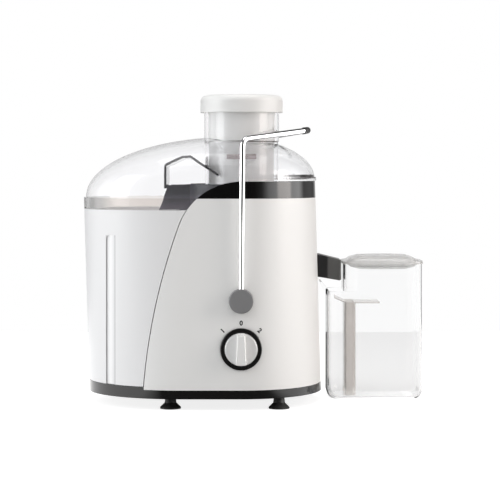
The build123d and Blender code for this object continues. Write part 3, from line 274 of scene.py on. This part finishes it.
def container_plastic():
    """White plastic with painted shade along the two edges of its groove and a painted highlight on the
    groove's floor between them.
    """
    centre, half_width, top = AXIS.x - 135.3 * MM, 4.75 * MM, 179 * MM
    half_line, softness = 0.5 * MM, 0.3 * MM
    middle_full, middle_gone = 1 * MM, 3 * MM
    material = moulded("white_container", (0.825, 0.825, 0.83), 0.36, depth=0.006 * MM, mottle=0.004)
    aside = sum_of(material, "ABSOLUTE", sum_of(material, "SUBTRACT", place(material, "X"), centre))
    below_top = between(material, place(material, "Z"), 1, 0, start=top - MM, end=top)
    # Painted shade: darker lines along the groove's two edges
    edge = within(material, aside, half_width - half_line, half_width + half_line, softness)
    tint(material, sum_of(material, "MULTIPLY", edge, below_top), (0.55, 0.55, 0.55))
    # Painted highlight: a lighter strip on the groove's floor between the edges
    painted_groove_highlight = between(material, aside, 1, 0, start=middle_full, end=middle_gone)
    tint(material, sum_of(material, "MULTIPLY", painted_groove_highlight, below_top), (0.96, 0.96, 0.96))
    return material


def spout_plastic():
    """Black plastic with a painted highlight at the spout's outer end."""
    step = 79 * MM
    material = moulded("spout_black", (0.022, 0.022, 0.023), 0.34, depth=0.006 * MM, mottle=0.2)
    # Painted highlight: the outer end is lightened where its face catches the light
    painted_end_highlight = between(material, place(material, "X"), 0, 1, start=step - MM, end=step + MM)
    tint(material, painted_end_highlight, (0.11, 0.11, 0.107))
    return material


def bowl_plastic():
    """Dark plastic that grows lighter towards the foot of the pulp duct."""
    light_below, dark_above = 206 * MM, 222 * MM
    material = moulded("dark_bowl", (0.022, 0.021, 0.028), 0.35, mottle=0.2)
    foot = between(material, place(material, "Z"), 1, 0, start=light_below, end=dark_above)
    tint(material, foot, (0.11, 0.107, 0.13))
    return material


def knob_plastic():
    """Silver plastic with a painted highlight on its grip bar."""
    half_bar = 4.5 * MM
    material = moulded(
        "silver_knob", (0.86, 0.86, 0.855), 0.32, depth=0.006 * MM, mottle=0.02, Metallic=0.2
    )
    # Painted highlight along the grip bar
    bar = within(material, place(material, "X"), AXIS.x - half_bar, AXIS.x + half_bar, edge=MM)
    tint(material, bar, (1, 1, 0.99))
    return material


def lid_plastic():
    """Clear plastic with a tinted rim over the container, which painted shade darkens towards its left end,
    and a dark rim line at the right.
    """
    rim_levels = (204.5 * MM, 216.8 * MM)
    rim_shade_until, rim_shade_gone = -172 * MM, -152 * MM
    flange_levels = (237.4 * MM, 240.8 * MM)
    flange_dark_from, flange_dark_full = AXIS.x + 42 * MM, AXIS.x + 62 * MM
    material = clear("clear_lid", CLEAR, ior=1.3)
    rim = within(material, place(material, "Z"), *rim_levels, EDGE)
    tint(material, rim, (0.86, 0.83, 0.81))
    # Painted shade: the rim grows darker towards its left end
    left = between(material, place(material, "X"), 1, 0, start=rim_shade_until, end=rim_shade_gone)
    tint(material, sum_of(material, "MULTIPLY", rim, left), (0.6, 0.6, 0.6))
    flange = within(material, place(material, "Z"), *flange_levels, EDGE)
    right = between(material, place(material, "X"), 0, 1, start=flange_dark_from, end=flange_dark_full)
    tint(material, sum_of(material, "MULTIPLY", flange, right), (0.15, 0.14, 0.14))
    return material


def chute_plastic():
    """Clear plastic with a painted shade line at the ring round the chute."""
    ledge_shade_levels = (275.2 * MM, 276.6 * MM)
    material = clear("clear_chute", CLEAR, ior=1.3)
    # Painted shade: a dark line where the wall steps out at the ring round the chute
    tint(material, within(material, place(material, "Z"), *ledge_shade_levels, EDGE), (0.28, 0.26, 0.26))
    return material


def sieve():
    """Thin steel with rows of fine holes round it."""
    bright, hole = (0.62, 0.62, 0.63), (0.02, 0.02, 0.02)
    material = metal("sieve", bright, 0.3)
    holes = node(material, "ShaderNodeTexVoronoi", feature="DISTANCE_TO_EDGE")
    holes.inputs["Scale"].default_value = 700
    holes.inputs["Randomness"].default_value = 0.15
    wire(material, position(material), holes.inputs["Vector"])
    rim = between(material, holes.outputs["Distance"], 0, 1, start=0.08, end=0.16)
    vary(material, "Base Color", blend_colors(material, rim, bright, hole))
    return material


looks = {
    white_body: ("main_housing",),
    container_plastic(): ("pulp_container", "cooling_fan"),
    black_band: ("trim_band", "dial_bezel"),
    black_tray: ("base_tray",),
    bowl_plastic(): ("juice_bowl", "basket_rim", "basket_base"),
    spout_plastic(): ("juice_spout",),
    black_part: ("drive_coupling", "rotary_switch", "safety_switch", "cord_gland"),
    knob_plastic(): ("speed_knob",),
    grey_cap: ("pivot_cap_front", "pivot_cap_rear", "pivot_bush_front", "pivot_bush_rear"),
    chrome: ("bail_wire",),
    rubber: ("bail_grip", "shaft_seal", "rubber_mounts"),
    lid_plastic(): ("lid",),
    chute_plastic(): ("feed_chute",),
    clear_hood: ("pulp_hood",),
    frosted: ("pusher",),
    frosted_cap: ("pusher_cap",),
    clear_jug: ("jug",),
    grey_lid: ("jug_lid",),
    separator: ("froth_separator",),
    sieve(): ("filter_basket",),
    stator_steel: ("motor_stator", "armature_core"),
    copper: ("field_coils", "armature_windings", "commutator"),
    brass: ("brush_holders",),
    carbon: ("carbon_brushes",),
}
material_of = {name: material for material, names in looks.items() for name in names}
for name, cad in nodes.items():
    cad.data.materials.clear()
    cad.data.materials.append(material_of.get(name, rubber if name.startswith("foot_") else steel))

# ------------------------------------------------------------------ print on the housing and chute
PRINT_LIFT = 0.06 * MM
PRINT_SPREAD = 0.3 * MM
DIAL_MARK_SIZE = 6.5 * MM
DIAL_MARK_RADIUS = 26.5 * MM
CHUTE_OUTSIDE = 39.25 * MM
LOCK_MARK_LEVELS = (257.2 * MM, 262.2 * MM)
LOCK_MARK_REACH = 23  # degrees each way from the front
LOCK_MARK_THICKNESS = 0.5 * MM


def add_mesh(name, mesh, material, body):
    """A finished mesh becomes a piece that rides on a body."""
    piece = bpy.data.objects.new(name, mesh)
    bpy.context.scene.collection.objects.link(piece)
    piece.data.materials.append(material)
    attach(piece, body)
    return piece


def on_surface(cad, point, lift):
    """The point moved along Y onto the front of a CAD node, lifted off it a little."""
    start = Vector((point.x, cad_low.y - 50 * MM, point.z))
    hit, spot, normal, _ = cad.ray_cast(start, Vector((0, 1, 0)))
    return spot + normal * lift if hit else point


def printed_text(name, words, size, centre, turn):
    """Flat lettering printed on the front of the housing."""
    curve = bpy.data.curves.new(name, "FONT")
    curve.body = words
    curve.size = size
    curve.align_x = "CENTER"
    curve.align_y = "CENTER"
    curve.offset = PRINT_SPREAD
    text = bpy.data.objects.new(name, curve)
    bpy.context.scene.collection.objects.link(text)
    upright = Matrix.Rotation(math.radians(90), 4, "X")
    text.matrix_world = Matrix.Translation(centre) @ Matrix.Rotation(turn, 4, "Y") @ upright
    bpy.context.view_layer.update()
    mesh = bpy.data.meshes.new_from_object(text.evaluated_get(bpy.context.evaluated_depsgraph_get()))
    mesh.transform(text.matrix_world)
    bpy.data.objects.remove(text)
    for vertex in mesh.vertices:
        vertex.co = on_surface(nodes["main_housing"], vertex.co, PRINT_LIFT)
    add_mesh(name, mesh, black_print, "base")


def curved_bar(name, radius, levels, reach, thickness, material, body):
    """A thin bar round the motor axis, between two heights and as far each way from the front."""
    steps, bevel_share = 24, 0.3
    low, high = levels
    mesh = bpy.data.meshes.new(name)
    form = bmesh.new()
    rows = []
    for step in range(steps + 1):
        angle = math.radians(reach * (2 * step / steps - 1))
        out = Vector((math.sin(angle), -math.cos(angle), 0))
        corners = ((radius, low), (radius + thickness, low), (radius + thickness, high), (radius, high))
        rows.append([form.verts.new(AXIS + out * r + Vector((0, 0, z))) for r, z in corners])
    for first, second in zip(rows, rows[1:]):
        for side in range(4):
            after = (side + 1) % 4
            form.faces.new((first[side], first[after], second[after], second[side]))
    form.faces.new(rows[0][::-1])
    form.faces.new(rows[-1])
    bmesh.ops.recalc_face_normals(form, faces=form.faces)
    form.to_mesh(mesh)
    form.free()
    piece = add_mesh(name, mesh, material, body)
    bevel = piece.modifiers.new("edges", "BEVEL")
    bevel.width = min(thickness, high - low) * bevel_share
    bevel.segments = 2


knob_low, knob_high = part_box("speed_knob")
dial = Vector((AXIS.x, knob_low.y, (knob_low.z + knob_high.z) / 2))
for words, degrees in (("1", -45), ("0", 0), ("2", 45)):
    turn = math.radians(degrees)
    centre = dial + Vector((math.sin(turn), 0, math.cos(turn))) * DIAL_MARK_RADIUS
    printed_text(f"dial_mark_{words}", words, DIAL_MARK_SIZE, centre, turn)
curved_bar(
    "lock_mark_bar", CHUTE_OUTSIDE, LOCK_MARK_LEVELS, LOCK_MARK_REACH, LOCK_MARK_THICKNESS,
    lock_mark, "lid",
)

# ------------------------------------------------------------------ what surrounds the juicer
AMBIENT = 0.6
SIDE_GLOW = 4.0  # strength of the bright walls at the sides, in the gloss alone
LEFT_SHARE = 0.8  # reach of the left wall against the right one's
CEILING_SHARE = 0.15
# Place from behind the camera (0) to behind the juicer (1), and how bright gloss mirrors it
MIRRORED_ROOM = ((0.0, 0.02), (0.08, 0.04), (0.15, 0.95), (0.62, 1.0), (0.72, 0.12), (0.94, 0.16), (1.0, 0.8))


def background(world, strength):
    """A white background of one strength."""
    made = node(world, "ShaderNodeBackground")
    made.inputs["Color"].default_value = (1, 1, 1, 1)
    made.inputs["Strength"].default_value = strength
    return made


def mirrored_room(world):
    """What gloss and metal mirror: dark behind the camera and overhead, bright walls at the sides."""
    direction = node(world, "ShaderNodeTexCoord")
    parts = node(world, "ShaderNodeSeparateXYZ")
    wire(world, direction.outputs["Generated"], parts.inputs[0])
    across, ahead, up = parts.outputs
    ramp = node(world, "ShaderNodeValToRGB")
    stops = ramp.color_ramp.elements
    while len(stops) < len(MIRRORED_ROOM):
        stops.new(0.5)
    for stop, (spot, level) in zip(stops, MIRRORED_ROOM):
        stop.position = spot
        stop.color = (level, level, level, 1)
    wire(world, between(world, ahead, 0, 1, start=-1, end=1), ramp.inputs[0])
    either_side = sum_of(world, "MAXIMUM", across, sum_of(world, "MULTIPLY", across, -LEFT_SHARE))
    walls = between(world, either_side, 1, SIDE_GLOW, start=0.5, end=0.85)
    steepness = sum_of(world, "ABSOLUTE", up)
    ceiling = between(world, steepness, 1, CEILING_SHARE, start=0.3, end=0.75)
    room = background(world, 1)
    wire(world, ramp.outputs[0], room.inputs["Color"])
    wire(world, sum_of(world, "MULTIPLY", walls, ceiling), room.inputs["Strength"])
    return room


def studio_world():
    """An even light, white where it is seen, with its own room for what gloss mirrors."""
    world = bpy.data.worlds.new("studio")
    world.use_nodes = True
    world.node_tree.nodes.clear()
    path = node(world, "ShaderNodeLightPath")
    seen = sum_of(world, "MAXIMUM", path.outputs["Is Camera Ray"], path.outputs["Is Transmission Ray"])
    plain, white = background(world, AMBIENT), background(world, 1)
    open_space = mixed_shader(world, seen, plain.outputs[0], white.outputs[0])
    everything = mixed_shader(world, mirror_rays(world), open_space, mirrored_room(world).outputs[0])
    output = node(world, "ShaderNodeOutputWorld")
    wire(world, everything, output.inputs["Surface"])
    return world


bpy.context.scene.world = studio_world()

# ------------------------------------------------------------------ floor
FLOOR_WIDTH = 12.0
FLOOR_EDGE = 0.76  # how far behind the juicer the floor ends
FLOOR_TONE = 0.4
FLOOR_TONE_MIRRORED = 0.08
FLOOR_GLOW = 0.83
FLOOR_GLOW_THROUGH = 0.45
FLOOR_GLOW_MIRRORED = 1.9
DARK_FLOOR_HALF_WIDTH = (0.05, 0.13)  # where the mirrored glow begins and is full, at the juicer
DARK_FLOOR_SPREAD = 0.45  # how much wider the dark floor is for each metre in front


def floor_material():
    """Pale floor, white where it is seen and a shade darker through the clear plastic."""
    material = plastic("floor", (FLOOR_TONE,) * 3, 0.9)
    path = node(material, "ShaderNodeLightPath")
    mirrored = mirror_rays(material)
    vary(material, "Base Color", blend_colors(
        material, mirrored, (FLOOR_TONE,) * 3, (FLOOR_TONE_MIRRORED,) * 3
    ))
    seen = sum_of(material, "MULTIPLY", path.outputs["Is Camera Ray"], FLOOR_GLOW)
    through = sum_of(material, "MULTIPLY", path.outputs["Is Transmission Ray"], FLOOR_GLOW_THROUGH)
    # Gloss mirrors a dark floor in front and a bright one at the sides
    sideways, ahead = (sum_of(material, "ABSOLUTE", place(material, axis)) for axis in "XY")
    beside = sum_of(material, "MULTIPLY_ADD", ahead, -DARK_FLOOR_SPREAD, sideways)
    at_sides = between(material, beside, 0, FLOOR_GLOW_MIRRORED, *DARK_FLOOR_HALF_WIDTH)
    in_gloss = sum_of(material, "MULTIPLY", at_sides, mirrored)
    glow = node(material, "ShaderNodeEmission")
    strength = sum_of(material, "ADD", sum_of(material, "ADD", seen, through), in_gloss)
    wire(material, strength, glow.inputs["Strength"])
    both = node(material, "ShaderNodeAddShader")
    wire(material, shader_of(material).outputs[0], both.inputs[0])
    wire(material, glow.outputs[0], both.inputs[1])
    wire(material, both.outputs[0], material.node_tree.nodes["Material Output"].inputs["Surface"])
    return material


def plain_floor():
    """A flat floor from well in front of the camera to just behind the juicer."""
    side = FLOOR_WIDTH / 2
    corners = [(-side, FLOOR_EDGE, 0), (-side, -side, 0), (side, -side, 0), (side, FLOOR_EDGE, 0)]
    mesh = bpy.data.meshes.new("floor")
    mesh.from_pydata(corners, [], [(0, 1, 2, 3)])
    floor = bpy.data.objects.new("floor", mesh)
    floor.data.materials.append(floor_material())
    bpy.context.scene.collection.objects.link(floor)


plain_floor()

# ------------------------------------------------------------------ lamps
LAMP_AIM = Vector((0, 0, 160 * MM))


def softbox(name, spot, size, power, color):
    """A rectangular lamp that faces the juicer."""
    lamp = bpy.data.lights.new(name, "AREA")
    lamp.shape = "RECTANGLE"
    lamp.size, lamp.size_y = size
    lamp.energy = power
    lamp.color = color
    box = bpy.data.objects.new(name, lamp)
    box.location = spot
    box.rotation_euler = (LAMP_AIM - Vector(spot)).to_track_quat("-Z", "Y").to_euler()
    bpy.context.scene.collection.objects.link(box)


softbox("right_lamp", (1.75, -0.55, 0.8), size=(0.9, 1.3), power=17, color=(1, 0.92, 0.87))
softbox("left_lamp", (-1.7, -0.6, 0.8), size=(0.9, 1.3), power=16, color=(0.97, 0.985, 1))
softbox("top_lamp", (0, -0.1, 1.8), size=(1.4, 1.2), power=10, color=(1, 1, 1))

# ------------------------------------------------------------------ camera
CAMERA_FROM_AXIS = Vector((9 * MM, -1.872, 251 * MM))
camera_data = bpy.data.cameras.new("camera")
camera_data.sensor_width = 36
camera_data.lens = 126
camera_data.shift_y = -0.17
camera = bpy.data.objects.new("camera", camera_data)
camera.location = AXIS + CAMERA_FROM_AXIS
camera.rotation_euler = (math.radians(90), 0, 0)
bpy.context.scene.collection.objects.link(camera)
bpy.context.scene.camera = camera
bpy.context.scene.view_settings.view_transform = "Standard"
